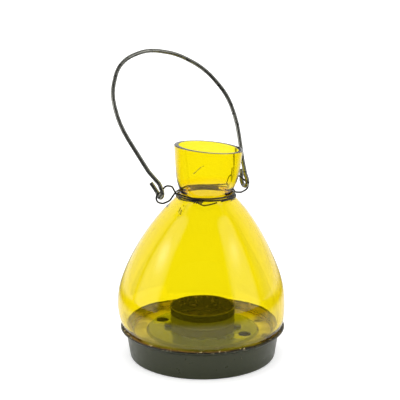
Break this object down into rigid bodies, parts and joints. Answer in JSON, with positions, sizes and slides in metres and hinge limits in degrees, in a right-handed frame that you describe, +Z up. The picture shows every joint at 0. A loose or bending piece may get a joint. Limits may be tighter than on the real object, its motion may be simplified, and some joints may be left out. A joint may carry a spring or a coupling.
{
  "type": "wasp trap",
  "caption": "Hanging wasp trap: open-necked yellow glass jar on a shallow steel base with a twist-out bait cup inside, and a wire bail hooked to a neck wire.",
  "frame": {"origin": "middle of the base's foot, on the surface that the trap stands on", "axes": "+Z up; +X along the axis that the bail swings on; the bail leans towards +Y at rest"},
  "size_m": [0.1058, 0.1057, 0.1896],
  "materials": {
    "yellow_glass": "clear lemon-yellow blown glass, polished, with small seeds and a cut rim",
    "base_paint": "dark grey-green satin paint on pressed sheet steel",
    "tray_paint": "dark olive gloss paint, dull and stained in the gutter",
    "cup_paint": "dark brown-olive paint, speckled with rust inside",
    "putty": "dried brown putty",
    "dark_wire": "black-annealed steel wire with a soft shine"
  },
  "bodies": {
    "trap": {"base_pan": "base_paint", "floor_tray": "tray_paint", "glass_jar": "yellow_glass", "jar_seal": "putty", "neck_wire": "dark_wire", "tie_wire": "dark_wire"},
    "cup": {"bait_cup": "cup_paint", "cup_floor": "cup_paint", "cup_lugs": "cup_paint"},
    "bail": {"bail": "dark_wire"}
  },
  "joints": [
    {"name": "bail_swing", "type": "hinge", "parent": "trap", "child": "bail", "pos_m": [0, 0, 0.1095], "axis": [1, 0, 0], "range_deg": [-70, 140]},
    {"name": "cup_turn", "type": "hinge", "parent": "trap", "child": "cup", "pos_m": [0, 0, 0.0156], "axis": [0, 0, -1], "range_deg": [0, 60]}
  ]
}
